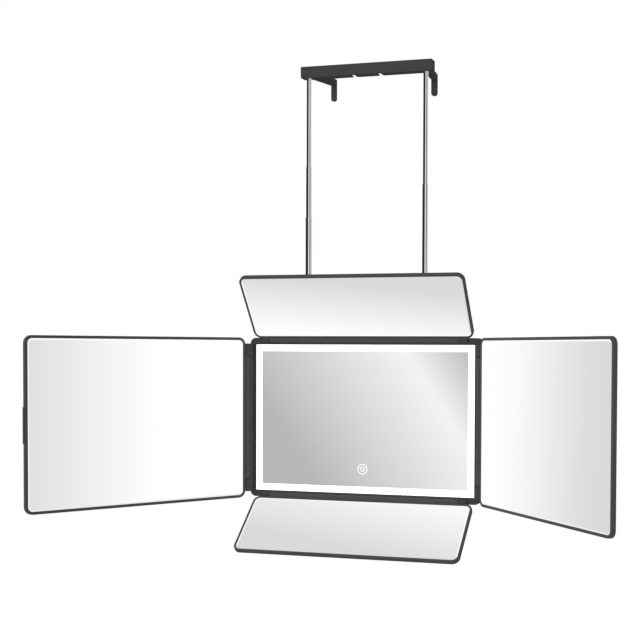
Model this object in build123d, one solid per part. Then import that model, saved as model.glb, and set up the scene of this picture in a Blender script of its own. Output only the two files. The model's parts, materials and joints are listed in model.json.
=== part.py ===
"""Lighted five-panel folding vanity mirror that hangs over a door on telescopic rods.

Millimetres. +Z is up, +X is to the viewer's right, and -Y points at the viewer.
The origin lies in the door-side face of the hook bar: Y = 0 is the face of the
door and Z = 0 is the top of the door, which the two hooks rest on.

Every wing is drawn in its own flat frame (hinge axis on Z, mirror towards -Y,
free edge towards +X) and is then folded and turned to its side of the centre.
"""

from build123d import *
import os

CUT = 1.0                 # how far a cut runs on past the face that it opens
PIECE_GAP = 0.1           # between neighbouring flat pieces
EDGE_ROUND = 0.5          # outer edges of the centre frame and the wing trays

# ---------------------------------------------------------------- hook bar
BAR_LENGTH = 170.0
BAR_DEPTH = 14.4
BAR_TOP = 12.5            # top face above the door top
BAR_BOTTOM = -1.5         # bottom face, a little below the door top
BAR_WALL = 1.3
BAR_FRONT_WALL = 1.6
BAR_END_WALL = 1.8
BAR_CORNER_ROUND = 0.8
BAR_EDGE_ROUND = 0.5
RIB_CLEARANCE = 5.0       # middle rib of the channel to the folded finger
KEY_SLOT_LENGTH = 6.0     # two shallow slots in the front face at each rod
KEY_SLOT_HEIGHT = 1.0
KEY_SLOT_DEPTH = 0.4
KEY_SLOT_RISE = 4.4       # above and below the middle of the bar

# ---------------------------------------------------------------- hooks
ROD_INSET = 9.0           # rod axes, in from the ends of the bar
ROD_Y = -8.0
HOOK_WIDTH = 8.4
HOOK_HEIGHT = 8.6
HOOK_EYE_DIAMETER = 9.0
HOOK_EYE_GAP = 0.2        # eye to the floor and the roof of the channel
HOOK_REACH = 57.0         # pivot to the inner face of the finger
HOOK_FINGER = 4.0
HOOK_DROP = 20.0
HOOK_ROUND = 1.6
SEAT_HEIGHT = 0.5         # pad under the arm that rests on the door top
SEAT_WIDTH = 5.0
SEAT_INSET = 3.0          # pad to the door's front face, and to the finger
LEFT_SWING_DEGREES = 12.6     # inward of square at rest
RIGHT_SWING_DEGREES = 5.2
FINGER_SLOT_GAP = 0.5

# ---------------------------------------------------------------- telescopic rods
STUD_DIAMETER = 5.0
INNER_ROD_DIAMETER = 6.0
MID_ROD_DIAMETER = 7.0
OUTER_ROD_DIAMETER = 8.0
BASE_TUBE_DIAMETER = 9.5
SLIDE_CLEARANCE = 0.1     # radial, each tube in the next
PIVOT_CLEARANCE = 0.05
ROD_LENGTH = 186.0
LEFT_MID_TOP = -112.0     # height of each tube's mouth at rest
LEFT_OUTER_TOP = -175.0
RIGHT_MID_TOP = -138.0
RIGHT_OUTER_TOP = -276.0
TUBE_LIP = 0.25           # rolled bead at each tube's mouth
TUBE_LIP_HEIGHT = 1.6
RIVET_DIAMETER = 6.4
RIVET_HEIGHT = 0.6

# ---------------------------------------------------------------- centre mirror
MIRROR_DROP = 426.0       # door top to the middle of the centre mirror at rest
CENTRE_WIDTH = 300.0
CENTRE_HEIGHT = 201.0
CENTRE_CORNER = 7.0
SIDE_BEZEL = 7.7          # edge of the frame to the lit border, left and right
END_BEZEL = 8.5           # the same at the top and the bottom
LIGHT_BORDER = 8.3        # width of the lit ring round the glass
GLASS_FACE_Y = -19.0      # front of the centre glass
GLASS_THICKNESS = 3.0
GLASS_CORNER = 0.3
RIM_PROUD = 1.0           # how far the frame stands in front of the glass
FRAME_BACK_Y = -13.0      # joint between the frame and the back housing
PAD_THICKNESS = 1.5
HOUSING_WALL = 2.0
HOUSING_BACK_WALL = 1.5
HOUSING_BACK_ROUND = 1.2
DIFFUSER_THICKNESS = 2.5
LEDGE = 1.8               # frame ledge behind the edge of the diffuser
CARRIER_THICKNESS = 2.0
CARRIER_INSET = 0.5       # inside the edge of the glass
CARRIER_CORNER = 1.0
REFLECTOR_THICKNESS = 1.0
REFLECTOR_LAP = 2.8       # beyond the diffuser on each side
REFLECTOR_CORNER = 5.0
LED_BOARD_THICKNESS = 0.8
LED_BOARD_WIDTH = 6.0
LED_BOARD_GAP = 0.5       # inside the frame's ledge
LED_BOARD_CORNER = 1.0
LED_SIZE = (3.0, 0.8, 1.6)
LED_PITCH = 16.6
SENSOR_DIAMETER = 16.0
SENSOR_THICKNESS = 0.8
ICON_RISE = 21.7          # touch spot above the lower edge of the glass
ICON_DIAMETER = 12.8
ICON_LINE = 1.0
ICON_PROUD = 0.15
ICON_LAMP_WIDTH = 5.8
ICON_LAMP_HEIGHT = 6.8
ICON_LAMP_FOOT = 2.6

# ---------------------------------------------------------------- inside the housing
BATTERY_SIZE = (70.0, 6.0, 56.0)
BATTERY_Z = 18.0
BATTERY_ROUND = 2.0
BOARD_SIZE = (50.0, 1.6, 30.0)
BOARD_X = 30.0
USB_WIDTH = 9.0
USB_HEIGHT = 3.2
USB_DEPTH = 7.4
USB_WALL = 0.35
USB_TONGUE_INSET = 1.0
BASE_TUBE_INSET = 12.5    # lower end of the base tubes above the bottom of the housing
CLAMP_WIDTH = 18.0
CLAMP_HEIGHT = 12.0
CLAMP_WALL = 0.2          # in front of the tube
CLAMP_INSET = 38.5        # from the top and the bottom of the housing
CLAMP_GAP = 0.05
PAD_DIAMETER = 12.0
PAD_SIDE_INSET = 22.0
PAD_END_INSET = 20.5
SCREW_DIAMETER = 2.0
SCREW_HEAD_DIAMETER = 3.8
SCREW_HEAD_HEIGHT = 1.2
SCREW_LENGTH = 15.0
SCREW_INSET = 3.8         # corner screws, in from the outline on both sides
SCREW_GAP = 0.025
BOSS_RADIUS = 3.2

# ---------------------------------------------------------------- wings
WING_THICKNESS = 5.0
WING_CORNER = 9.0
SIDE_WING_RIM = 3.3       # front edge of a tray round its glass
END_WING_RIM = 2.6
WING_GLASS_RECESS = 0.4
WING_GLASS_THICKNESS = 2.5
WING_TAPE_THICKNESS = 0.8
WING_TAPE_INSET = 8.0
BEVEL_WIDTH = 1.8
BEVEL_DEPTH = 0.3
SIDE_WING_OVERHANG = 0.2  # side wings above and below the centre frame
END_WING_INSET = 7.75     # top and bottom wings inside the centre frame's ends
TAB_LENGTH = 41.0
TAB_THICKNESS = 3.4
TAB_PROUD = 1.2
TAB_ROOT = 1.4            # depth of the tab's tongue in the wing's edge
TAB_TONGUE = 36.0
TAB_TONGUE_THICKNESS = 2.0

# the wings close in three layers: top and bottom, then right, then left
CLOSED_GAP = 0.5          # centre frame to the first layer
LAYER_GAP = 0.4           # between two layers
WING_END_GAP = 0.7        # free edge of a closed side wing to the other side's rail
MEETING_GAP = 2.8         # free edge of a closed end wing to the middle of the mirror

# ---------------------------------------------------------------- hinges
BARREL_RADIUS = 3.0
BARREL_GAP = 0.3          # barrel to the edge of its wing
COVE_GAP = 0.35           # barrel to the cove that it turns in
KNUCKLE_GAP = 0.2         # between knuckles, along the axis
KNUCKLE_EDGE = 0.6        # chamfer round the ends of a knuckle
WEB_THICKNESS = 1.4
FACE_OFFSET = 0.2         # mirror-side face in front of the hinge axis, wing open
PIN_DIAMETER = 2.0
PIN_CLEARANCE = 0.05
PIN_REACH = 12.0          # into the wing's barrel
PIN_END_GAP = 1.0         # end of the pin to the end of its bore
PIN_CAP = 1.0             # solid end of a fixed knuckle
SIDE_AXIS_INSET = 1.0     # side hinge axes, in from the frame's edge
SIDE_KNUCKLE_INSET = 7.3  # fixed knuckles, in from the frame's corners
SIDE_KNUCKLE_LENGTH = 15.7
END_KNUCKLE_INSET = 16.7
END_KNUCKLE_LENGTH = 9.8
RAIL_HORN = 1.8           # rail face behind the axis of its barrel

# fold of each wing at rest, forward of flat
LEFT_FOLD_DEGREES = 57.25
RIGHT_FOLD_DEGREES = 49.65
TOP_FOLD_DEGREES = 36.6
BOTTOM_FOLD_DEGREES = 50.2

# ---------------------------------------------------------------- derived places
ROD_X = BAR_LENGTH / 2 - ROD_INSET
CHANNEL_FLOOR = BAR_BOTTOM + BAR_WALL
CHANNEL_ROOF = BAR_TOP - BAR_WALL
CENTRE_Z = -MIRROR_DROP
RIM_Y = GLASS_FACE_Y - RIM_PROUD
HOUSING_TOP = CENTRE_HEIGHT / 2
HOUSING_BACK_Y = -PAD_THICKNESS
HOUSING_INNER_Y = HOUSING_BACK_Y - HOUSING_BACK_WALL
LIGHT_WIDTH = CENTRE_WIDTH - 2 * SIDE_BEZEL
LIGHT_HEIGHT = CENTRE_HEIGHT - 2 * END_BEZEL
GLASS_WIDTH = LIGHT_WIDTH - 2 * LIGHT_BORDER
GLASS_HEIGHT = LIGHT_HEIGHT - 2 * LIGHT_BORDER
ICON_Z = ICON_RISE - GLASS_HEIGHT / 2
DIFFUSER_BACK_Y = GLASS_FACE_Y + DIFFUSER_THICKNESS
GLASS_BACK_Y = GLASS_FACE_Y + GLASS_THICKNESS
CARRIER_BACK_Y = GLASS_BACK_Y + CARRIER_THICKNESS
REFLECTOR_FRONT_Y = FRAME_BACK_Y - REFLECTOR_THICKNESS
REFLECTOR_WIDTH = LIGHT_WIDTH + 2 * REFLECTOR_LAP
REFLECTOR_HEIGHT = LIGHT_HEIGHT + 2 * REFLECTOR_LAP
CLAMP_Z = HOUSING_TOP - CLAMP_INSET
BARREL_EDGE = BARREL_RADIUS + BARREL_GAP
SIDE_AXIS_X = CENTRE_WIDTH / 2 - SIDE_AXIS_INSET
END_AXIS_Z = HOUSING_TOP - BARREL_RADIUS
END_AXIS_Y = RIM_Y - CLOSED_GAP - FACE_OFFSET
RIGHT_AXIS_Y = END_AXIS_Y - WING_THICKNESS - LAYER_GAP
LEFT_AXIS_Y = RIGHT_AXIS_Y - WING_THICKNESS - LAYER_GAP
SIDE_KNUCKLE_END = HOUSING_TOP - SIDE_KNUCKLE_INSET
SIDE_KNUCKLE_START = SIDE_KNUCKLE_END - SIDE_KNUCKLE_LENGTH
END_KNUCKLE_END = CENTRE_WIDTH / 2 - END_KNUCKLE_INSET
END_KNUCKLE_START = END_KNUCKLE_END - END_KNUCKLE_LENGTH
SIDE_WING_LENGTH = 2 * SIDE_AXIS_X - BARREL_EDGE - BARREL_RADIUS - WING_END_GAP
SIDE_WING_HEIGHT = CENTRE_HEIGHT + 2 * SIDE_WING_OVERHANG
END_WING_LENGTH = CENTRE_WIDTH - 2 * END_WING_INSET
END_WING_DEPTH = END_AXIS_Z - BARREL_EDGE - MEETING_GAP
SCREW_SPOTS = [(sx * (CENTRE_WIDTH / 2 - SCREW_INSET), sz * (HOUSING_TOP - SCREW_INSET))
               for sx in (-1, 0, 1) for sz in (-1, 1)]


# ---------------------------------------------------------------- helpers
def block(x0, x1, y0, y1, z0, z1):
    """A box between two corners."""
    middle = ((x0 + x1) / 2, (y0 + y1) / 2, (z0 + z1) / 2)
    return Pos(*middle) * Box(abs(x1 - x0), abs(y1 - y0), abs(z1 - z0))


def panel(width, height, corner, back_y, front_y, x=0.0, z=0.0):
    """A flat upright plate with rounded corners, facing -Y."""
    face = Plane.XZ.offset(-back_y) * Pos(x, z) * RectangleRounded(width, height, corner)
    return extrude(face, amount=back_y - front_y)


def upright(radius, z0, z1, x=0.0, y=0.0):
    """A vertical cylinder."""
    return Pos(x, y, (z0 + z1) / 2) * Cylinder(radius, z1 - z0)


def peg(radius, back_y, front_y, x, z):
    """A cylinder along Y."""
    return Pos(x, (back_y + front_y) / 2, z) * Rot(90, 0, 0) * Cylinder(radius, abs(back_y - front_y))


def bar_along_x(radius, x0, x1, y, z):
    """A cylinder along X."""
    return Pos((x0 + x1) / 2, y, z) * Rot(0, 90, 0) * Cylinder(radius, x1 - x0)


def knuckle(cylinder):
    """A hinge knuckle: a cylinder with chamfered ends."""
    return chamfer(cylinder.edges().filter_by(GeomType.CIRCLE), KNUCKLE_EDGE)


def at_centre(shape):
    """Moves a piece drawn round the middle of the centre mirror to its height."""
    return Pos(0, 0, CENTRE_Z) * shape


def group(shapes):
    """Separate solids in one node."""
    return Compound(children=list(shapes))


# ---------------------------------------------------------------- hook bar and hooks
def key_slot(x, z):
    """Cutter of one shallow slot in the front face of the bar."""
    return block(x - KEY_SLOT_LENGTH / 2, x + KEY_SLOT_LENGTH / 2,
                 -BAR_DEPTH + KEY_SLOT_DEPTH, -BAR_DEPTH - CUT,
                 z - KEY_SLOT_HEIGHT / 2, z + KEY_SLOT_HEIGHT / 2)


def hook_bar():
    """Channel open towards the door, with a slot for each folded hook's finger."""
    half = BAR_LENGTH / 2
    body = block(-half, half, -BAR_DEPTH, 0, BAR_BOTTOM, BAR_TOP)
    body = fillet(body.edges().filter_by(Axis.Y), BAR_CORNER_ROUND)
    body = fillet(body.faces().sort_by(Axis.Y)[0].edges(), BAR_EDGE_ROUND)
    front = -BAR_DEPTH + BAR_FRONT_WALL
    middle = (BAR_TOP + BAR_BOTTOM) / 2
    finger_in = ROD_X - HOOK_REACH - HOOK_FINGER
    finger_out = ROD_X - HOOK_REACH
    for sx in (-1, 1):
        body -= block(sx * (finger_in - RIB_CLEARANCE), sx * (half - BAR_END_WALL),
                      front, CUT, CHANNEL_FLOOR, CHANNEL_ROOF)
        body -= block(sx * (finger_in - FINGER_SLOT_GAP), sx * (finger_out + FINGER_SLOT_GAP),
                      front, CUT, BAR_BOTTOM - CUT, CHANNEL_FLOOR + CUT)
        body -= upright(STUD_DIAMETER / 2, BAR_BOTTOM - CUT, BAR_TOP + CUT, sx * ROD_X, ROD_Y)
        for sz in (-1, 1):
            body -= key_slot(sx * ROD_X, middle + sz * KEY_SLOT_RISE)
    return body


def inner_rod(side):
    """Thinnest rod, fixed to the bar by the stud that the hook turns on."""
    x = side * ROD_X
    rod = upright(INNER_ROD_DIAMETER / 2, BAR_BOTTOM - ROD_LENGTH, BAR_BOTTOM, x, ROD_Y)
    return rod + upright(STUD_DIAMETER / 2, BAR_BOTTOM, BAR_TOP, x, ROD_Y)


def rivet_caps():
    """Low caps that close the studs on top of the bar."""
    caps = []
    for side in (-1, 1):
        cap = upright(RIVET_DIAMETER / 2, BAR_TOP, BAR_TOP + RIVET_HEIGHT, side * ROD_X, ROD_Y)
        rim = cap.faces().sort_by(Axis.Z)[-1].edges()
        caps.append(fillet(rim, RIVET_HEIGHT * 0.6))
    return group(caps)


def hook(side, swing):
    """Arm over the door with a finger down behind it, turned inward by swing degrees."""
    half = HOOK_WIDTH / 2
    top = SEAT_HEIGHT + HOOK_HEIGHT
    end = HOOK_REACH + HOOK_FINGER
    arm = block(-half, half, 0, end, SEAT_HEIGHT, top)
    arm += block(-half, half, HOOK_REACH, end, -HOOK_DROP, top)
    arm = fillet(arm.edges().filter_by(Axis.X).group_by(Axis.Y)[-1], HOOK_ROUND)
    arm = fillet(arm.edges().filter_by(Axis.Y).group_by(Axis.Z)[0], half * 0.9)
    arm += block(-SEAT_WIDTH / 2, SEAT_WIDTH / 2, SEAT_INSET - ROD_Y, HOOK_REACH - SEAT_INSET,
                 0, SEAT_HEIGHT)
    eye = (CHANNEL_FLOOR + HOOK_EYE_GAP, CHANNEL_ROOF - HOOK_EYE_GAP)
    arm += upright(HOOK_EYE_DIAMETER / 2, *eye)
    arm -= upright(STUD_DIAMETER / 2 + PIVOT_CLEARANCE, eye[0] - CUT, eye[1] + CUT)
    return Pos(side * ROD_X, ROD_Y, 0) * Rot(0, 0, side * swing) * arm


def rod_tube(side, diameter, inner_diameter, top):
    """One telescopic tube with a rolled bead at its mouth."""
    x = side * ROD_X
    tube = upright(diameter / 2, top - ROD_LENGTH, top, x, ROD_Y)
    bead = upright(diameter / 2 + TUBE_LIP, top - TUBE_LIP_HEIGHT, top, x, ROD_Y)
    bead = fillet(bead.edges().filter_by(GeomType.CIRCLE), TUBE_LIP * 0.8)
    bore = upright(inner_diameter / 2 + SLIDE_CLEARANCE, top - ROD_LENGTH - CUT, top + CUT, x, ROD_Y)
    return tube + bead - bore


# ---------------------------------------------------------------- centre mirror
def boss_posts():
    """Screw bosses of the back housing, as a list."""
    return [peg(BOSS_RADIUS, HOUSING_BACK_Y, FRAME_BACK_Y, x, z) for x, z in SCREW_SPOTS]


def screw_hole(x, z, front_y):
    """Clearance hole and head seat of one housing screw."""
    hole = peg(SCREW_DIAMETER / 2 + SCREW_GAP, HOUSING_BACK_Y + CUT, front_y, x, z)
    head = peg(SCREW_HEAD_DIAMETER / 2 + SCREW_GAP, HOUSING_BACK_Y + CUT,
               HOUSING_BACK_Y - SCREW_HEAD_HEIGHT, x, z)
    return hole + head


def back_housing():
    """Back shell: carries the rod tubes, the battery and the board."""
    shell = panel(CENTRE_WIDTH, CENTRE_HEIGHT, CENTRE_CORNER, HOUSING_BACK_Y, FRAME_BACK_Y)
    shell = fillet(shell.faces().sort_by(Axis.Y)[-1].edges(), HOUSING_BACK_ROUND)
    shell -= panel(CENTRE_WIDTH - 2 * HOUSING_WALL, CENTRE_HEIGHT - 2 * HOUSING_WALL,
                   CENTRE_CORNER - HOUSING_WALL, HOUSING_INNER_Y, FRAME_BACK_Y - CUT)
    inside = panel(CENTRE_WIDTH, CENTRE_HEIGHT, CENTRE_CORNER, HOUSING_INNER_Y, FRAME_BACK_Y)
    for post in boss_posts():
        shell += post & inside
    for x, z in SCREW_SPOTS:
        shell -= screw_hole(x, z, FRAME_BACK_Y - CUT)
    for side in (-1, 1):
        shell -= upright(BASE_TUBE_DIAMETER / 2 + CLAMP_GAP, HOUSING_TOP - HOUSING_WALL - CUT,
                         HOUSING_TOP + CUT, side * ROD_X, ROD_Y)
    port_y = HOUSING_INNER_Y - BOARD_SIZE[1]
    shell -= block(BOARD_X - USB_WIDTH / 2 - PIECE_GAP, BOARD_X + USB_WIDTH / 2 + PIECE_GAP,
                   port_y + PIECE_GAP, port_y - USB_HEIGHT - PIECE_GAP,
                   -HOUSING_TOP - CUT, -HOUSING_TOP + HOUSING_WALL + CUT)
    return at_centre(shell)


def side_rail(side, axis_y):
    """Rail that carries one side wing's barrel in front of the frame."""
    x = side * SIDE_AXIS_X
    sides = (x - BARREL_RADIUS, x + BARREL_RADIUS)
    face = axis_y + RAIL_HORN
    rail = block(*sides, DIFFUSER_BACK_Y, face, -SIDE_KNUCKLE_END, SIDE_KNUCKLE_END)
    for sz in (-1, 1):
        ends = sorted((sz * SIDE_KNUCKLE_START, sz * SIDE_KNUCKLE_END))
        rail += block(*sides, face + CUT, axis_y, *ends)
        rail += knuckle(upright(BARREL_RADIUS, *ends, x, axis_y))
    rail -= upright(BARREL_RADIUS + COVE_GAP, -SIDE_KNUCKLE_START, SIDE_KNUCKLE_START, x, axis_y)
    for sz in (-1, 1):
        bore = sorted((sz * (SIDE_KNUCKLE_START - CUT), sz * (SIDE_KNUCKLE_END - PIN_CAP)))
        rail -= upright(PIN_DIAMETER / 2, *bore, x, axis_y)
    return rail


def end_knuckles(frame, sz):
    """Cuts the cove for the top or bottom barrel and adds the knuckles at its ends."""
    z = sz * END_AXIS_Z
    frame -= bar_along_x(BARREL_RADIUS + COVE_GAP, -END_KNUCKLE_START, END_KNUCKLE_START, END_AXIS_Y, z)
    for sx in (-1, 1):
        ends = sorted((sx * END_KNUCKLE_START, sx * END_KNUCKLE_END))
        frame += knuckle(bar_along_x(BARREL_RADIUS, *ends, END_AXIS_Y, z))
        bore = sorted((sx * (END_KNUCKLE_START - CUT), sx * (END_KNUCKLE_END - PIN_CAP)))
        frame -= bar_along_x(PIN_DIAMETER / 2, *bore, END_AXIS_Y, z)
    return frame


def front_frame():
    """Bezel round the lit border, with the fixed half of all four hinges."""
    ring = panel(CENTRE_WIDTH, CENTRE_HEIGHT, CENTRE_CORNER, FRAME_BACK_Y, RIM_Y)
    ring = fillet(ring.faces().sort_by(Axis.Y)[0].edges(), EDGE_ROUND)
    gap = 2 * PIECE_GAP
    ring -= panel(LIGHT_WIDTH + gap, LIGHT_HEIGHT + gap, GLASS_CORNER, DIFFUSER_BACK_Y, RIM_Y - CUT)
    ring -= panel(LIGHT_WIDTH - 2 * LEDGE, LIGHT_HEIGHT - 2 * LEDGE, GLASS_CORNER,
                  FRAME_BACK_Y + CUT, DIFFUSER_BACK_Y - CUT)
    ring -= panel(REFLECTOR_WIDTH + gap, REFLECTOR_HEIGHT + gap, REFLECTOR_CORNER + PIECE_GAP,
                  FRAME_BACK_Y + CUT, REFLECTOR_FRONT_Y)
    ring += side_rail(-1, LEFT_AXIS_Y)
    ring += side_rail(1, RIGHT_AXIS_Y)
    for sz in (-1, 1):
        ring = end_knuckles(ring, sz)
    for x, z in SCREW_SPOTS:
        ring -= peg(SCREW_DIAMETER / 2 + SCREW_GAP, FRAME_BACK_Y + CUT,
                    HOUSING_BACK_Y - SCREW_LENGTH - PIECE_GAP, x, z)
    return at_centre(ring)


def centre_glass():
    """Mirror pane inside the lit border."""
    return at_centre(panel(GLASS_WIDTH, GLASS_HEIGHT, GLASS_CORNER, GLASS_BACK_Y, GLASS_FACE_Y))


def light_diffuser():
    """Opal ring that the lamps light from behind."""
    ring = panel(LIGHT_WIDTH, LIGHT_HEIGHT, GLASS_CORNER, DIFFUSER_BACK_Y, GLASS_FACE_Y)
    gap = 2 * PIECE_GAP
    ring -= panel(GLASS_WIDTH + gap, GLASS_HEIGHT + gap, GLASS_CORNER,
                  DIFFUSER_BACK_Y + CUT, GLASS_FACE_Y - CUT)
    return at_centre(ring)


def glass_carrier():
    """Plate that the centre glass is bonded to, with a hole for the touch sensor."""
    plate = panel(GLASS_WIDTH - 2 * CARRIER_INSET, GLASS_HEIGHT - 2 * CARRIER_INSET, CARRIER_CORNER,
                  CARRIER_BACK_Y, GLASS_BACK_Y)
    plate -= peg(SENSOR_DIAMETER / 2 + PIECE_GAP, CARRIER_BACK_Y + CUT, GLASS_BACK_Y - CUT, 0, ICON_Z)
    return at_centre(plate)


def touch_sensor():
    """Round touch pad bonded behind the glass."""
    return at_centre(peg(SENSOR_DIAMETER / 2, GLASS_BACK_Y + SENSOR_THICKNESS, GLASS_BACK_Y, 0, ICON_Z))


def lamp_outline(inset):
    """Pear-shaped lamp with its point down, made smaller by the inset all round."""
    head = ICON_LAMP_WIDTH / 2
    foot = ICON_LAMP_FOOT / 2
    top = Pos(0, ICON_LAMP_HEIGHT / 2 - head) * Circle(head - inset)
    bottom = Pos(0, foot - ICON_LAMP_HEIGHT / 2) * Circle(foot - inset)
    return make_hull(top.edges() + bottom.edges())


def touch_icon():
    """Printed touch mark on the glass: a ring round a plain lamp."""
    ring = Circle(ICON_DIAMETER / 2) - Circle(ICON_DIAMETER / 2 - ICON_LINE)
    lamp = lamp_outline(0) - lamp_outline(ICON_LINE)
    spot = Plane.XZ.offset(-GLASS_FACE_Y) * Pos(0, ICON_Z)
    return at_centre(group([extrude(spot * shape, amount=ICON_PROUD) for shape in (ring, lamp)]))


def reflector_plate():
    """White plate that closes the back of the light chamber."""
    return at_centre(panel(REFLECTOR_WIDTH, REFLECTOR_HEIGHT, REFLECTOR_CORNER,
                           FRAME_BACK_Y, REFLECTOR_FRONT_Y))


def led_board_size():
    """Outer width and height of the lamp ring."""
    shrink = 2 * (LEDGE + LED_BOARD_GAP)
    return LIGHT_WIDTH - shrink, LIGHT_HEIGHT - shrink


def led_strip():
    """Ring-shaped lamp board on the reflector plate."""
    width, height = led_board_size()
    front = REFLECTOR_FRONT_Y - LED_BOARD_THICKNESS
    ring = panel(width, height, LED_BOARD_CORNER, REFLECTOR_FRONT_Y, front)
    ring -= panel(width - 2 * LED_BOARD_WIDTH, height - 2 * LED_BOARD_WIDTH, LED_BOARD_CORNER,
                  REFLECTOR_FRONT_Y + CUT, front - CUT)
    return at_centre(ring)


def led_chips():
    """Lamps at an even pitch round the board."""
    width, height = led_board_size()
    x_line = (width - LED_BOARD_WIDTH) / 2
    z_line = (height - LED_BOARD_WIDTH) / 2
    middle_y = REFLECTOR_FRONT_Y - LED_BOARD_THICKNESS - LED_SIZE[1] / 2
    along = int(2 * x_line / LED_PITCH)
    up = int(2 * z_line / LED_PITCH)
    chips = []
    for i in range(along + 1):
        x = (i - along / 2) * LED_PITCH
        for sz in (-1, 1):
            chips.append(Pos(x, middle_y, sz * z_line) * Box(*LED_SIZE))
    for i in range(1, up):
        z = (i - up / 2) * LED_PITCH
        for sx in (-1, 1):
            chips.append(Pos(sx * x_line, middle_y, z) * Rot(0, 90, 0) * Box(*LED_SIZE))
    return at_centre(group(chips))


# ---------------------------------------------------------------- inside the housing
def base_tube(side):
    """Fixed tube that the outer rod slides down into."""
    x = side * ROD_X
    bottom = BASE_TUBE_INSET - HOUSING_TOP
    tube = upright(BASE_TUBE_DIAMETER / 2, bottom, HOUSING_TOP, x, ROD_Y)
    bore = OUTER_ROD_DIAMETER / 2 + SLIDE_CLEARANCE
    tube -= upright(bore, bottom - CUT, HOUSING_TOP + CUT, x, ROD_Y)
    return at_centre(tube)


def tube_clamps():
    """Saddles that hold the two base tubes against the back shell."""
    saddles = []
    front = ROD_Y - BASE_TUBE_DIAMETER / 2 - CLAMP_WALL
    bore = BASE_TUBE_DIAMETER / 2 + CLAMP_GAP
    for side in (-1, 1):
        for z in (-CLAMP_Z, CLAMP_Z):
            x = side * ROD_X
            cut = (z - CLAMP_HEIGHT, z + CLAMP_HEIGHT)
            saddle = block(x - CLAMP_WIDTH / 2, x + CLAMP_WIDTH / 2, HOUSING_INNER_Y, front,
                           z - CLAMP_HEIGHT / 2, z + CLAMP_HEIGHT / 2)
            saddle -= upright(bore, *cut, x, ROD_Y)
            saddle -= block(x - bore, x + bore, ROD_Y, HOUSING_INNER_Y + CUT, *cut)
            saddles.append(saddle)
    return at_centre(group(saddles))


def battery():
    """Flat rechargeable cell in the middle of the back shell."""
    width, depth, height = BATTERY_SIZE
    cell = Pos(0, HOUSING_INNER_Y - depth / 2, BATTERY_Z) * Box(width, depth, height)
    return at_centre(fillet(cell.edges().filter_by(Axis.Z), BATTERY_ROUND))


def control_board():
    """Charging and dimming board at the bottom of the housing."""
    width, depth, height = BOARD_SIZE
    bottom = -HOUSING_TOP + HOUSING_WALL + PIECE_GAP
    plate = Pos(BOARD_X, HOUSING_INNER_Y - depth / 2, bottom + height / 2) * Box(width, depth, height)
    return at_centre(plate)


def usb_socket():
    """Charging socket: a thin shell, open downwards, round a contact tongue."""
    back = HOUSING_INNER_Y - BOARD_SIZE[1]
    front = back - USB_HEIGHT
    middle = (back + front) / 2
    bottom = -HOUSING_TOP + PIECE_GAP
    top = bottom + USB_DEPTH
    x0, x1 = BOARD_X - USB_WIDTH / 2, BOARD_X + USB_WIDTH / 2
    shell = block(x0, x1, back, front, bottom, top)
    shell = fillet(shell.edges().filter_by(Axis.Z), USB_HEIGHT * 0.35)
    shell -= block(x0 + USB_WALL, x1 - USB_WALL, back - USB_WALL, front + USB_WALL,
                   bottom - CUT, top - USB_WALL * 3)
    shell += block(BOARD_X - USB_WIDTH / 3, BOARD_X + USB_WIDTH / 3, middle - USB_WALL,
                   middle + USB_WALL, bottom + USB_TONGUE_INSET, top - USB_WALL)
    return at_centre(shell)


def housing_screws():
    """Screws that join the back housing to the front frame."""
    screws = []
    seat = HOUSING_BACK_Y - SCREW_HEAD_HEIGHT
    for x, z in SCREW_SPOTS:
        head = peg(SCREW_HEAD_DIAMETER / 2, HOUSING_BACK_Y, seat, x, z)
        head -= peg(SCREW_DIAMETER / 3, HOUSING_BACK_Y + CUT, seat + SCREW_HEAD_HEIGHT / 2, x, z)
        screws.append(head + peg(SCREW_DIAMETER / 2, seat, HOUSING_BACK_Y - SCREW_LENGTH, x, z))
    return at_centre(group(screws))


def door_pads():
    """Soft discs that keep the housing off the door."""
    discs = []
    for sx in (-1, 1):
        for sz in (-1, 1):
            x = sx * (CENTRE_WIDTH / 2 - PAD_SIDE_INSET)
            z = sz * (HOUSING_TOP - PAD_END_INSET)
            disc = peg(PAD_DIAMETER / 2, 0, HOUSING_BACK_Y, x, z)
            rim = disc.faces().sort_by(Axis.Y)[-1].edges()
            discs.append(fillet(rim, PAD_THICKNESS * 0.3))
    return at_centre(group(discs))


# ---------------------------------------------------------------- wings
def wing_panel(length, height, inset, back, front):
    """Plate of a wing in its flat frame: back and front are depths behind the mirror-side face."""
    face_y = -FACE_OFFSET
    return panel(length - 2 * inset, height - 2 * inset, WING_CORNER - inset,
                 face_y + back, face_y + front, x=BARREL_EDGE + length / 2)


def wing_frame(length, height, rim, barrel_half):
    """Tray with a thin rim, and the turning half of the hinge along one edge."""
    tray = wing_panel(length, height, 0, WING_THICKNESS, 0)
    rims = tray.faces().sort_by(Axis.Y)
    tray = fillet(rims[0].edges() + rims[-1].edges(), EDGE_ROUND)
    depth = WING_GLASS_RECESS + WING_GLASS_THICKNESS + WING_TAPE_THICKNESS
    tray -= wing_panel(length, height, rim, depth, -CUT)
    end = barrel_half - KNUCKLE_GAP
    barrel = knuckle(upright(BARREL_RADIUS, -end, end))
    web = block(0, BARREL_EDGE + rim / 2, -FACE_OFFSET, WEB_THICKNESS - FACE_OFFSET, -end, end)
    tray = tray + barrel + web
    for sz in (-1, 1):
        bore = sorted((sz * (end - PIN_REACH - PIN_END_GAP), sz * (end + CUT)))
        tray -= upright(PIN_DIAMETER / 2 + PIN_CLEARANCE, *bore)
    return tray


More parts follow.
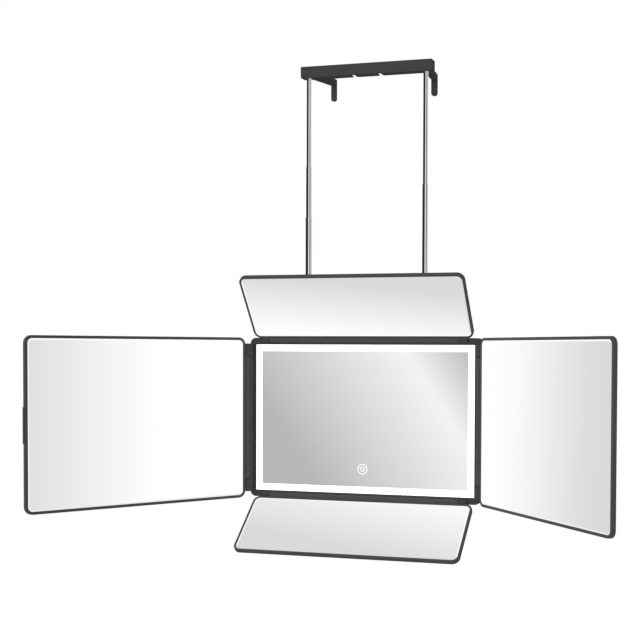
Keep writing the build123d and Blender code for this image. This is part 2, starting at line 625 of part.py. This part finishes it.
def wing_glass(length, height, rim):
    """Mirror pane with a narrow ground bevel."""
    back = WING_GLASS_RECESS + WING_GLASS_THICKNESS
    pane = wing_panel(length, height, rim + PIECE_GAP, back, WING_GLASS_RECESS)
    face = pane.faces().sort_by(Axis.Y)[0]
    return chamfer(face.edges(), BEVEL_WIDTH, BEVEL_DEPTH, reference=face)


def wing_tape(length, height):
    """Foam tape that bonds the glass into its tray."""
    front = WING_GLASS_RECESS + WING_GLASS_THICKNESS
    return wing_panel(length, height, WING_TAPE_INSET, front + WING_TAPE_THICKNESS, front)


def hinge_pins(knuckle_start, knuckle_end):
    """The two pins of one hinge, on the axis."""
    pins = []
    for sz in (-1, 1):
        inner = knuckle_start - KNUCKLE_GAP - PIN_REACH
        pins.append(upright(PIN_DIAMETER / 2, *sorted((sz * inner, sz * (knuckle_end - PIN_CAP)))))
    return group(pins)


def tab_box(x0, x1, length, thickness):
    """A block centred on the mid-height and mid-thickness of a wing's free edge."""
    middle = WING_THICKNESS / 2 - FACE_OFFSET
    return block(x0, x1, middle - thickness / 2, middle + thickness / 2, -length / 2, length / 2)


def pull_tab():
    """Finger tab pressed into the free edge of the left wing."""
    edge = BARREL_EDGE + SIDE_WING_LENGTH
    lip = tab_box(edge, edge + TAB_PROUD, TAB_LENGTH, TAB_THICKNESS)
    lip = fillet(lip.faces().sort_by(Axis.X)[-1].edges(), TAB_PROUD * 0.4)
    return lip + tab_box(edge - TAB_ROOT, edge, TAB_TONGUE, TAB_TONGUE_THICKNESS)


def tab_slot():
    """Slot for the tongue of the pull tab."""
    edge = BARREL_EDGE + SIDE_WING_LENGTH
    return tab_box(edge - TAB_ROOT, edge + CUT, TAB_TONGUE, TAB_TONGUE_THICKNESS)


class Hinge:
    """Where one wing turns, and which way its flat frame points."""

    def __init__(self, name, x, y, z, turn, fold, length, height, rim, knuckle_start, knuckle_end):
        self.name = name
        self.place = Pos(x, y, CENTRE_Z + z) * Rot(0, turn, 0)
        self.fold = fold
        self.length = length
        self.height = height
        self.rim = rim
        self.knuckle_start = knuckle_start
        self.knuckle_end = knuckle_end

    def fixed(self, shape):
        """Places a piece of the hinge that stays with the centre."""
        return self.place * shape

    def folded(self, shape):
        """Places a piece that turns with the wing."""
        return self.place * Rot(0, 0, -self.fold) * shape


SIDE_SIZE = (SIDE_WING_LENGTH, SIDE_WING_HEIGHT, SIDE_WING_RIM, SIDE_KNUCKLE_START, SIDE_KNUCKLE_END)
END_SIZE = (END_WING_DEPTH, END_WING_LENGTH, END_WING_RIM, END_KNUCKLE_START, END_KNUCKLE_END)
HINGES = [
    Hinge("left", -SIDE_AXIS_X, LEFT_AXIS_Y, 0, 180, LEFT_FOLD_DEGREES, *SIDE_SIZE),
    Hinge("right", SIDE_AXIS_X, RIGHT_AXIS_Y, 0, 0, RIGHT_FOLD_DEGREES, *SIDE_SIZE),
    Hinge("top", 0, END_AXIS_Y, END_AXIS_Z, -90, TOP_FOLD_DEGREES, *END_SIZE),
    Hinge("bottom", 0, END_AXIS_Y, -END_AXIS_Z, 90, BOTTOM_FOLD_DEGREES, *END_SIZE),
]


def wing_nodes(hinge):
    """All nodes of one wing and its hinge pins."""
    frame = wing_frame(hinge.length, hinge.height, hinge.rim, hinge.knuckle_start)
    glass = wing_glass(hinge.length, hinge.height, hinge.rim)
    nodes = {}
    if hinge.name == "left":
        frame -= tab_slot()
        nodes["left_pull_tab"] = hinge.folded(pull_tab())
    nodes[f"{hinge.name}_wing_frame"] = hinge.folded(frame)
    nodes[f"{hinge.name}_wing_glass"] = hinge.folded(glass)
    nodes[f"{hinge.name}_wing_tape"] = hinge.folded(wing_tape(hinge.length, hinge.height))
    pins = hinge_pins(hinge.knuckle_start, hinge.knuckle_end)
    nodes[f"{hinge.name}_hinge_pins"] = hinge.fixed(pins)
    return nodes


# ---------------------------------------------------------------- the whole part
def build_nodes():
    """Every node of the part, by name."""
    nodes = {
        "hook_bar": hook_bar(),
        "left_inner_rod": inner_rod(-1),
        "right_inner_rod": inner_rod(1),
        "rivet_caps": rivet_caps(),
        "left_hook": hook(-1, LEFT_SWING_DEGREES),
        "right_hook": hook(1, RIGHT_SWING_DEGREES),
        "left_mid_rod": rod_tube(-1, MID_ROD_DIAMETER, INNER_ROD_DIAMETER, LEFT_MID_TOP),
        "left_outer_rod": rod_tube(-1, OUTER_ROD_DIAMETER, MID_ROD_DIAMETER, LEFT_OUTER_TOP),
        "right_mid_rod": rod_tube(1, MID_ROD_DIAMETER, INNER_ROD_DIAMETER, RIGHT_MID_TOP),
        "right_outer_rod": rod_tube(1, OUTER_ROD_DIAMETER, MID_ROD_DIAMETER, RIGHT_OUTER_TOP),
        "back_housing": back_housing(),
        "front_frame": front_frame(),
        "centre_glass": centre_glass(),
        "light_diffuser": light_diffuser(),
        "glass_carrier": glass_carrier(),
        "touch_sensor": touch_sensor(),
        "touch_icon": touch_icon(),
        "reflector_plate": reflector_plate(),
        "led_strip": led_strip(),
        "led_chips": led_chips(),
        "left_base_tube": base_tube(-1),
        "right_base_tube": base_tube(1),
        "tube_clamps": tube_clamps(),
        "battery": battery(),
        "control_board": control_board(),
        "usb_socket": usb_socket(),
        "housing_screws": housing_screws(),
        "door_pads": door_pads(),
    }
    for hinge in HINGES:
        nodes.update(wing_nodes(hinge))
    return nodes


def main():
    os.makedirs("parts", exist_ok=True)
    for name, shape in build_nodes().items():
        export_step(shape, f"parts/{name}.step")


if __name__ == "__main__":
    main()
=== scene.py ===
"""Looks of the five-panel folding vanity mirror: materials, studio, camera and small dressed pieces.

Metres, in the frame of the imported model: +X to the viewer's right, -Y towards
the viewer, +Z up, with the origin at the top of the door.
"""

import json
import math

import bpy
from mathutils import Matrix, Vector


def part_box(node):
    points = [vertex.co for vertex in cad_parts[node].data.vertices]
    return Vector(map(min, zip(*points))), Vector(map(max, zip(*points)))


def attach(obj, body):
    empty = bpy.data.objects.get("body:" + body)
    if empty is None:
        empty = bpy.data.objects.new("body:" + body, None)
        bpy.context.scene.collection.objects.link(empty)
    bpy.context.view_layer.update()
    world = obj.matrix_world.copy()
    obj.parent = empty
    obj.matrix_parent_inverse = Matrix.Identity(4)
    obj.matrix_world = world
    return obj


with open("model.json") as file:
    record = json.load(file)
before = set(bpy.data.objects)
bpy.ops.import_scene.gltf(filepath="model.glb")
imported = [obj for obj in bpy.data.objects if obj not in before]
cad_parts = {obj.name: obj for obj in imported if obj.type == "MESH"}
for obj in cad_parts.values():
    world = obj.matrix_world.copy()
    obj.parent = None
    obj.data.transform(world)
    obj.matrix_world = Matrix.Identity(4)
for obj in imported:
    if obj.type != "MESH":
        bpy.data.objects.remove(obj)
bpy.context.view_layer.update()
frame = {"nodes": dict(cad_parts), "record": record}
scene = bpy.context.scene

MM = 0.001

# ---------------------------------------------------------------- camera and floor
CAMERA_PLACE = Vector((0.5110, -1.5141, -0.3400))
CAMERA_YAW = 0.3002        # radians to the left of +Y
CAMERA_PITCH = 0.0314      # radians down
CAMERA_ROLL = 0.0044
CAMERA_LENS = 71.955
CAMERA_SENSOR = 36.0
CAMERA_SHIFT = (-0.125, 0.1094)

FLOOR_HEIGHT = -2.03       # a standard door's height below the hooks
FLOOR_SIZE = 8.0
FLOOR_PAINTED_SHADE = (0.6, 3.6, 0.90, 1.0)          # painted shade on the glowing floor, by distance from its middle: start, end, and the greys there


# ---------------------------------------------------------------- node helpers
# places of a mix node's colour sockets, whose names it uses more than once
MIX_FACTOR, MIX_FIRST, MIX_SECOND, MIX_COLOUR = 0, 6, 7, 2


def add_node(tree, kind, sockets=None, **settings):
    """Adds a node. sockets gives a value, or another node's output, for each input."""
    node = tree.nodes.new(kind)
    for name, value in settings.items():
        setattr(node, name, value)
    for key, value in (sockets or {}).items():
        if isinstance(value, bpy.types.NodeSocket):
            tree.links.new(value, node.inputs[key])
        else:
            node.inputs[key].default_value = value
    return node


def maths(tree, operation, *values):
    """One step of arithmetic."""
    return add_node(tree, "ShaderNodeMath", dict(enumerate(values)), operation=operation).outputs[0]


def ramp(tree, value, start, end, low=0.0, high=1.0, smooth=False):
    """Goes from low at start to high at end, and stays there."""
    sockets = {"Value": value, "From Min": start, "From Max": end, "To Min": low, "To Max": high}
    kind = "SMOOTHSTEP" if smooth else "LINEAR"
    return add_node(tree, "ShaderNodeMapRange", sockets, interpolation_type=kind).outputs["Result"]


def mix(tree, factor, first, second):
    """first where factor is 0, second where it is 1."""
    sockets = {MIX_FACTOR: factor, MIX_FIRST: first, MIX_SECOND: second}
    return add_node(tree, "ShaderNodeMix", sockets, data_type="RGBA").outputs[MIX_COLOUR]


def neutral(value):
    """An RGB grey."""
    return (value, value, value)


def grey(value):
    """An RGBA grey."""
    return (*neutral(value), 1.0)


def colour_stops(tree, value, stops):
    """Colour ramp with (place, colour) stops, from place 0 to place 1."""
    node = add_node(tree, "ShaderNodeValToRGB", {0: value})
    points = node.color_ramp.elements
    for place, _ in stops[1:-1]:
        points.new(place)
    for point, (_, colour) in zip(points, stops):
        point.color = (*colour, 1.0)
    return node.outputs[0]


# ---------------------------------------------------------------- studio
# Shades change with the direction of a ray: x to the right, y away from the viewer, z up.
# Two numbers are where a change starts and ends. Greys follow them.

# what the side mirrors see: a white cove behind, falling to grey at the sides of the room
RIGHT_COVE = (-0.165, -0.058, 0.715, 1.0)   # by y
LEFT_COVE = (0.292, 0.388, 0.695, 1.0)
COVES_MEET = (-0.02, 0.02)                  # by x
# what the centre mirror sees: a bright slanting band between two greys
BAND_SLANT = 0.622                          # how far the band moves in x for each unit of z
BAND_RISE = (-0.420, -0.292, 0.474, 0.895)
BAND_FALL = (-0.292, -0.250, 0.895, 0.540)
BAND_FRONT = (0.75, 0.88)                   # straight towards the viewer
# what the end mirrors see: direction of the gradient, level, lowest and highest grey
FLOOR_SHADE = ((-0.983, 6.583, -2.946), -0.127, 0.70, 1.0)
CEILING_SHADE = ((1.518, 4.905, -1.797), 2.818, 0.70, 0.96)
END_ZONE = (0.55, 0.75)                     # up or down
# dark and bright cards that the chrome rods see, by azimuth in degrees from the viewer towards the right
ROD_CARDS = [(-180, (0.76, 0.75, 0.73)), (-162, (0.70, 0.69, 0.67)), (-152, (0.050, 0.040, 0.028)),
             (-60, (0.030, 0.024, 0.015)), (-8, (0.038, 0.032, 0.024)), (6, (0.85, 0.85, 0.88)),
             (38, (0.82, 0.82, 0.87)), (48, (0.08, 0.08, 0.10)), (70, (0.09, 0.09, 0.10)),
             (82, (0.56, 0.55, 0.51)), (140, (0.76, 0.75, 0.71)), (180, (0.76, 0.75, 0.73))]
ROD_ENDS = (0.60, 0.80, 0.75)               # up or down, where the cards end
# the ground bevels of the side panes look past the coves
BEVEL_TOP = (0.10, 0.14)                    # into white above
BEVEL_FREE = (-0.20, -0.36, 0.90)           # left pane's free edge, by y
BEVEL_SIDE = (0.5, 0.7)                     # and by x
FLOOR_NEAR = (0.15, 0.36, 0.84)             # into pale floor below
ROOM_BEHIND = (0.68, 0.80, 0.05)            # straight behind the object: dark
# soft light on everything that isn't a mirror: its level, and the shares of some directions
SOFT_LEVEL, SOFT_BEHIND, SOFT_BELOW, SOFT_ABOVE = 1.45, 0.12, 0.02, 0.45
SOFT_LEFT, SOFT_RIGHT = 1.25, 0.80
SOFT_ACROSS = (-0.7, 0.7)                   # by x, from the left share to the right one
SOFT_FRONT = (0.25, -0.75)                  # by y, from the share behind to full
SOFT_RISE = (-0.75, 0.0)                    # by z, from the share below to full
SOFT_TOP = (0.15, 0.90)                     # by z, from full to the share above
BACK_FILL = 1.6                             # strength of the lamp behind, on matt surfaces only
BACK_FILL_ANGLE = 0.6                       # its size in radians


def shade_towards(tree, direction, shade):
    """Grey that changes evenly along one direction."""
    gradient, level, lowest, highest = shade
    dot = add_node(tree, "ShaderNodeVectorMath", {0: direction, 1: gradient}, operation="DOT_PRODUCT")
    value = maths(tree, "ADD", dot.outputs["Value"], level)
    return maths(tree, "MINIMUM", maths(tree, "MAXIMUM", value, lowest), highest)


def mirror_surroundings(tree, direction, x, y, z):
    """The room as the panes see it."""
    right_side = ramp(tree, y, *RIGHT_COVE)
    left_side = ramp(tree, y, *LEFT_COVE, smooth=True)
    sides = mix(tree, ramp(tree, x, *COVES_MEET), left_side, right_side)
    start, end, level = BEVEL_FREE
    near_left = maths(tree, "MULTIPLY", ramp(tree, y, start, end), ramp(tree, x, *BEVEL_SIDE))
    sides = mix(tree, near_left, sides, grey(level))
    sides = mix(tree, ramp(tree, z, *BEVEL_TOP), sides, grey(1.0))
    below = maths(tree, "MULTIPLY", z, -1.0)
    start, end, level = FLOOR_NEAR
    sides = mix(tree, ramp(tree, below, start, end, smooth=True), sides, grey(level))
    across = maths(tree, "ADD", x, maths(tree, "MULTIPLY", z, BAND_SLANT))
    band = maths(tree, "MINIMUM", ramp(tree, across, *BAND_RISE), ramp(tree, across, *BAND_FALL))
    forward = maths(tree, "MULTIPLY", y, -1.0)
    room = mix(tree, ramp(tree, forward, *BAND_FRONT, smooth=True), sides, band)
    start, end, level = ROOM_BEHIND
    room = mix(tree, ramp(tree, y, start, end, smooth=True), room, grey(level))
    up = ramp(tree, z, *END_ZONE, smooth=True)
    down = ramp(tree, below, *END_ZONE, smooth=True)
    room = mix(tree, up, room, shade_towards(tree, direction, CEILING_SHADE))
    return mix(tree, down, room, shade_towards(tree, direction, FLOOR_SHADE))


def chrome_surroundings(tree, x, y, z):
    """The cards as the rods see them."""
    azimuth = maths(tree, "ARCTAN2", x, maths(tree, "MULTIPLY", y, -1.0))
    turn = maths(tree, "ADD", maths(tree, "DIVIDE", azimuth, math.tau), 0.5)
    cards = colour_stops(tree, turn, [(degrees / 360 + 0.5, colour) for degrees, colour in ROD_CARDS])
    start, end, level = ROD_ENDS
    past = ramp(tree, maths(tree, "ABSOLUTE", z), start, end, smooth=True)
    return mix(tree, past, cards, grey(level))


def soft_surroundings(tree, x, y, z):
    """Soft light, strongest from the viewer's side and a little to the left."""
    light = ramp(tree, x, *SOFT_ACROSS, SOFT_LEVEL * SOFT_LEFT, SOFT_LEVEL * SOFT_RIGHT)
    front = ramp(tree, y, *SOFT_FRONT, SOFT_BEHIND, 1.0, smooth=True)
    below = ramp(tree, z, *SOFT_RISE, SOFT_BELOW, 1.0, smooth=True)
    above = ramp(tree, z, *SOFT_TOP, 1.0, SOFT_ABOVE, smooth=True)
    for share in (front, below, above):
        light = maths(tree, "MULTIPLY", light, share)
    return light


def studio_world():
    """White to the camera, cards to the chrome, a graded room to the panes, soft to all else.

    Only chrome has no roughness at all, so it alone sends out singular rays.
    """
    world = bpy.data.worlds.new("studio")
    world.use_nodes = True
    tree = world.node_tree
    tree.nodes.clear()
    direction = add_node(tree, "ShaderNodeTexCoord").outputs["Generated"]
    parts = add_node(tree, "ShaderNodeSeparateXYZ", {0: direction})
    x, y, z = (parts.outputs[i] for i in range(3))
    rays = add_node(tree, "ShaderNodeLightPath")
    light = mix(tree, rays.outputs["Is Glossy Ray"], soft_surroundings(tree, x, y, z),
                mirror_surroundings(tree, direction, x, y, z))
    light = mix(tree, rays.outputs["Is Singular Ray"], light, chrome_surroundings(tree, x, y, z))
    light = mix(tree, rays.outputs["Is Camera Ray"], light, grey(1.0))
    background = add_node(tree, "ShaderNodeBackground", {"Color": light})
    output = add_node(tree, "ShaderNodeOutputWorld", {"Surface": background.outputs[0]})
    output.is_active_output = True
    scene.world = world


def back_fill():
    """Broad lamp behind the object, shining towards the viewer."""
    lamp = bpy.data.lights.new("back_fill", "SUN")
    lamp.energy = BACK_FILL
    lamp.angle = BACK_FILL_ANGLE
    rig = bpy.data.objects.new("back_fill", lamp)
    rig.rotation_euler = (math.radians(-90), 0.0, 0.0)
    rig.visible_glossy = False
    scene.collection.objects.link(rig)


def floor():
    """Pale floor at the foot of the door, glowing by itself, with painted shade greyest in the middle
    below the object. It lights nothing.
    """
    half = FLOOR_SIZE / 2
    mesh = bpy.data.meshes.new("studio_floor")
    corners = [(-half, -half), (half, -half), (half, half), (-half, half)]
    mesh.from_pydata([(x, y, FLOOR_HEIGHT) for x, y in corners], [], [(0, 1, 2, 3)])
    plane = bpy.data.objects.new("studio_floor", mesh)
    scene.collection.objects.link(plane)
    plane.visible_glossy = False
    plane.visible_diffuse = False
    material = bpy.data.materials.new("pale_floor")
    material.use_nodes = True
    tree = material.node_tree
    tree.nodes.clear()
    place = add_node(tree, "ShaderNodeNewGeometry").outputs["Position"]
    distance = add_node(tree, "ShaderNodeVectorMath", {0: place, 1: (0.0, 0.0, FLOOR_HEIGHT)},
                        operation="DISTANCE").outputs["Value"]
    # painted shade: the floor's glow is greyest in its middle, below the object
    level = ramp(tree, distance, *FLOOR_PAINTED_SHADE, smooth=True)
    shader = add_node(tree, "ShaderNodeEmission", {"Color": level})
    add_node(tree, "ShaderNodeOutputMaterial", {"Surface": shader.outputs[0]})
    mesh.materials.append(material)


def camera():
    """The camera at the picture's angle."""
    data = bpy.data.cameras.new("camera")
    data.sensor_width = CAMERA_SENSOR
    data.lens = CAMERA_LENS
    data.shift_x, data.shift_y = CAMERA_SHIFT
    data.clip_start, data.clip_end = 0.05, 50.0
    forward = Vector((-math.sin(CAMERA_YAW) * math.cos(CAMERA_PITCH),
                      math.cos(CAMERA_YAW) * math.cos(CAMERA_PITCH), -math.sin(CAMERA_PITCH)))
    level = Vector((math.cos(CAMERA_YAW), math.sin(CAMERA_YAW), 0.0))
    upward = level.cross(forward)
    right = level * math.cos(CAMERA_ROLL) + upward * math.sin(CAMERA_ROLL)
    up = upward * math.cos(CAMERA_ROLL) - level * math.sin(CAMERA_ROLL)
    turn = Matrix((right, up, -forward)).transposed().to_4x4()
    rig = bpy.data.objects.new("camera", data)
    rig.matrix_world = Matrix.Translation(CAMERA_PLACE) @ turn
    scene.collection.objects.link(rig)
    scene.camera = rig


# ---------------------------------------------------------------- materials
PANE_ROUGHNESS = 0.02      # too little to blur, enough not to count as chrome
PLASTIC_SPECULAR = 0.12
PLASTIC_GRAIN = 0.12       # strength of the moulded grain
ROUGHNESS_SWING = 0.05     # up and down over a plastic's surface
STEEL_SWING = 0.06         # the same on steel
NOISE_SPAN = (0.3, 0.7)    # where most values of a noise lie
BORDER_GLOW = (1.15, 1.30)  # weakest and strongest places of the lit border

# moulded plastics: darkest and lightest colour, roughness, grains per metre and their depth in metres;
# some are lit copies of one plastic
MOULDED = {
    "charcoal_plastic": (neutral(0.053), neutral(0.058), 0.56, 2600.0, 0.00003),
    # bezel_plastic is a lighter copy of the charcoal plastic: painted light, making up for soft light
    # that the wings keep off the centre frame
    "bezel_plastic": (neutral(0.055), neutral(0.061), 0.56, 2600.0, 0.00003),
    # wing_plastic is a lighter copy of the charcoal plastic: painted light, making up for soft light
    # that the panes keep off the parts it dresses
    "wing_plastic": (neutral(0.074), neutral(0.080), 0.58, 2600.0, 0.00003),
    "housing_plastic": (neutral(0.048), neutral(0.055), 0.58, 1100.0, 0.00008),
    "inner_plastic": (neutral(0.040), neutral(0.050), 0.50, 1500.0, 0.00004),
    "white_plastic": ((0.76, 0.76, 0.75), (0.82, 0.82, 0.81), 0.55, 1500.0, 0.00004),
}


def new_material(name):
    """(material, tree, Principled shader, place in metres)."""
    material = bpy.data.materials.new(name)
    material.use_nodes = True
    tree = material.node_tree
    shader = tree.nodes["Principled BSDF"]
    place = add_node(tree, "ShaderNodeTexCoord").outputs["Object"]
    return material, tree, shader, place


def noise(tree, place, per_metre, detail=3.0):
    """Fractal noise with features of the given number per metre."""
    sockets = {"Vector": place, "Scale": per_metre, "Detail": detail}
    return add_node(tree, "ShaderNodeTexNoise", sockets).outputs["Fac"]


def bump(tree, shader, height, distance, strength=1.0):
    """Fine relief of the given depth in metres."""
    sockets = {"Height": height, "Distance": distance, "Strength": strength}
    node = add_node(tree, "ShaderNodeBump", sockets)
    tree.links.new(node.outputs["Normal"], shader.inputs["Normal"])


def drive(tree, shader, name, value, low, high):
    """An input of the shader that follows a 0..1 value between low and high."""
    tree.links.new(ramp(tree, value, *NOISE_SPAN, low, high), shader.inputs[name])


def tinted(tree, shader, value, first, second):
    """Base colour that follows a 0..1 value between two colours."""
    colour = mix(tree, ramp(tree, value, *NOISE_SPAN), (*first, 1.0), (*second, 1.0))
    tree.links.new(colour, shader.inputs["Base Color"])


def moulded_plastic(name, dark, light, roughness, grain_per_metre, grain_depth):
    """Injection-moulded plastic: fine grain, faint cloudiness, slightly uneven sheen."""
    material, tree, shader, place = new_material(name)
    tinted(tree, shader, noise(tree, place, 9.0), dark, light)
    lowest, highest = roughness - ROUGHNESS_SWING, roughness + ROUGHNESS_SWING
    drive(tree, shader, "Roughness", noise(tree, place, 60.0), lowest, highest)
    shader.inputs["Specular IOR Level"].default_value = PLASTIC_SPECULAR
    bump(tree, shader, noise(tree, place, grain_per_metre, 2.0), grain_depth, PLASTIC_GRAIN)
    return material


def chrome():
    """Polished plating with a faint warm cast."""
    material, tree, shader, place = new_material("chrome")
    tinted(tree, shader, noise(tree, place, 30.0), (0.88, 0.87, 0.86), (0.93, 0.92, 0.91))
    shader.inputs["Metallic"].default_value = 1.0
    shader.inputs["Roughness"].default_value = 0.0
    return material


def drawn_steel(name, dark, light, roughness):
    """Bare or blackened steel with fine lengthwise drawing marks."""
    material, tree, shader, place = new_material(name)
    stretched = add_node(tree, "ShaderNodeMapping", {"Vector": place, "Scale": (1.0, 1.0, 0.03)})
    marks = noise(tree, stretched.outputs["Vector"], 3000.0)
    tinted(tree, shader, marks, dark, light)
    shader.inputs["Metallic"].default_value = 1.0
    drive(tree, shader, "Roughness", marks, roughness - STEEL_SWING, roughness + STEEL_SWING)
    bump(tree, shader, marks, 0.00002, 0.4)
    return material


def mirror_glass():
    """Silvered pane: sharp, with a trace of green from the glass."""
    material, tree, shader, place = new_material("mirror_glass")
    tinted(tree, shader, noise(tree, place, 4.0), (0.995, 1.0, 0.998), (1.0, 1.0, 1.0))
    shader.inputs["Metallic"].default_value = 1.0
    shader.inputs["Roughness"].default_value = PANE_ROUGHNESS
    return material


def lit_opal():
    """Opal acrylic with lamps behind it."""
    material, tree, shader, place = new_material("opal_diffuser")
    shader.inputs["Base Color"].default_value = grey(0.9)
    shader.inputs["Roughness"].default_value = 0.35
    drive(tree, shader, "Emission Strength", noise(tree, place, 25.0, 1.0), *BORDER_GLOW)
    shader.inputs["Emission Color"].default_value = (1.0, 0.995, 0.985, 1.0)
    return material


def lit_print():
    """Printed touch mark, lit from behind."""
    material, tree, shader, place = new_material("icon_print")
    tinted(tree, shader, noise(tree, place, 400.0), (0.86, 0.86, 0.87), (0.92, 0.92, 0.92))
    shader.inputs["Roughness"].default_value = 0.4
    shader.inputs["Emission Color"].default_value = grey(1.0)
    shader.inputs["Emission Strength"].default_value = 0.35
    return material


def circuit_board():
    """Green solder mask over faint copper tracks."""
    material, tree, shader, place = new_material("circuit_board")
    cells = add_node(tree, "ShaderNodeTexVoronoi", {"Vector": place, "Scale": 350.0},
                     distance="MANHATTAN").outputs["Distance"]
    tinted(tree, shader, cells, (0.010, 0.075, 0.030), (0.022, 0.130, 0.050))
    drive(tree, shader, "Roughness", cells, 0.25, 0.38)
    bump(tree, shader, cells, 0.00005)
    return material


def cell_wrap():
    """Crinkled foil pouch."""
    material, tree, shader, place = new_material("cell_wrap")
    creases = noise(tree, place, 120.0, 5.0)
    tinted(tree, shader, creases, (0.42, 0.43, 0.45), (0.58, 0.59, 0.61))
    shader.inputs["Metallic"].default_value = 0.8
    drive(tree, shader, "Roughness", creases, 0.30, 0.50)
    bump(tree, shader, creases, 0.0003)
    return material


def phosphor():
    """Yellow phosphor of a lamp that is on."""
    material, tree, shader, place = new_material("led_phosphor")
    tinted(tree, shader, noise(tree, place, 900.0), (0.80, 0.68, 0.25), (0.90, 0.80, 0.40))
    shader.inputs["Emission Color"].default_value = (1.0, 0.95, 0.85, 1.0)
    shader.inputs["Emission Strength"].default_value = 2.0
    return material


def soft_rubber(name, dark, light, pores_per_metre):
    """Foam or soft rubber with small pores."""
    material, tree, shader, place = new_material(name)
    pores = add_node(tree, "ShaderNodeTexVoronoi", {"Vector": place, "Scale": pores_per_metre})
    tinted(tree, shader, pores.outputs["Distance"], dark, light)
    shader.inputs["Roughness"].default_value = 0.85
    shader.inputs["Specular IOR Level"].default_value = 0.3
    bump(tree, shader, pores.outputs["Distance"], 0.0002)
    return material


MATERIALS = {name: moulded_plastic(name, *look) for name, look in MOULDED.items()}
MATERIALS |= {
    "chrome": chrome(),
    "steel": drawn_steel("steel", (0.40, 0.40, 0.41), (0.55, 0.55, 0.56), 0.32),
    "screw_steel": drawn_steel("screw_steel", (0.030, 0.030, 0.033), (0.060, 0.060, 0.065), 0.38),
    "mirror_glass": mirror_glass(),
    "opal_diffuser": lit_opal(),
    "icon_print": lit_print(),
    "led_phosphor": phosphor(),
    "circuit_board": circuit_board(),
    "cell_wrap": cell_wrap(),
    "foam_tape": soft_rubber("foam_tape", neutral(0.020), neutral(0.035), 2500.0),
    "soft_pad": soft_rubber("soft_pad", neutral(0.014), neutral(0.024), 1200.0),
}


def dress_cad():
    """Gives every CAD node its material; mirrors and chrome reflect the studio alone."""
    for subpart in frame["record"]["subparts"]:
        node = frame["nodes"][subpart["node"]]
        material = MATERIALS[subpart["material_slot"]]
        if not node.material_slots:
            node.data.materials.append(material)
        for slot in node.material_slots:
            slot.material = material
        node.visible_glossy = False


# ---------------------------------------------------------------- painted seam shade at the hinges
# section of a near-black ring in the groove between two knuckles, painted shade for the seam's shadow:
# (radius, half its width there), in mm
SEAM_SHADE_RING_SECTION = ((2.30, 0.06), (2.88, 0.55), (2.92, 0.45))
SEAM_SHADE_RING_SEGMENTS = 64
# from the outer end of a hinge pin to the groove, in mm
GROOVE_DEPTH = {"left": 14.8, "right": 14.8, "top": 8.9, "bottom": 8.9}


def seam_shade_ring_points(centre, axis):
    """Points of one dark ring's surface, section after section."""
    section = list(SEAM_SHADE_RING_SECTION) + [(radius, -half) for radius, half in reversed(SEAM_SHADE_RING_SECTION)]
    points = []
    for step in range(SEAM_SHADE_RING_SEGMENTS):
        angle = math.tau * step / SEAM_SHADE_RING_SEGMENTS
        for radius, half in section:
            point = centre.copy()
            point[axis] += half * MM
            point[(axis + 1) % 3] += radius * MM * math.cos(angle)
            point[(axis + 2) % 3] += radius * MM * math.sin(angle)
            points.append(point)
    return points


def ring_faces(start, sides):
    """Quads that join each section to the next one, all the way round."""
    faces = []
    for step in range(SEAM_SHADE_RING_SEGMENTS):
        here = start + step * sides
        there = start + (step + 1) % SEAM_SHADE_RING_SEGMENTS * sides
        for side in range(sides):
            follow = (side + 1) % sides
            faces.append((here + side, here + follow, there + follow, there + side))
    return faces


def hinge_seam_shade_rings(wing, depth):
    """The two near-black rings of one hinge, round its pins: painted shade in the seams between its
    knuckles.
    """
    lowest, highest = (Vector(corner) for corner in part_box(f"{wing}_hinge_pins"))
    axis = max(range(3), key=lambda i: highest[i] - lowest[i])
    points, faces = [], []
    for end, inwards in ((lowest, 1), (highest, -1)):
        centre = (lowest + highest) / 2
        centre[axis] = end[axis] + inwards * depth * MM
        faces += ring_faces(len(points), 2 * len(SEAM_SHADE_RING_SECTION))
        points += seam_shade_ring_points(centre, axis)
    mesh = bpy.data.meshes.new(f"{wing}_hinge_seam_shade_rings")
    mesh.from_pydata(points, [], faces)
    # the near-black soft_pad rubber paints the seam shade
    mesh.materials.append(MATERIALS["soft_pad"])
    piece = bpy.data.objects.new(f"{wing}_hinge_seam_shade_rings", mesh)
    scene.collection.objects.link(piece)
    piece.visible_glossy = False
    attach(piece, "centre")


studio_world()
back_fill()
floor()
camera()
scene.view_settings.view_transform = "Standard"
dress_cad()
# near-black rings in the hinge grooves: painted seam shade
for wing_name, groove_depth in GROOVE_DEPTH.items():
    hinge_seam_shade_rings(wing_name, groove_depth)
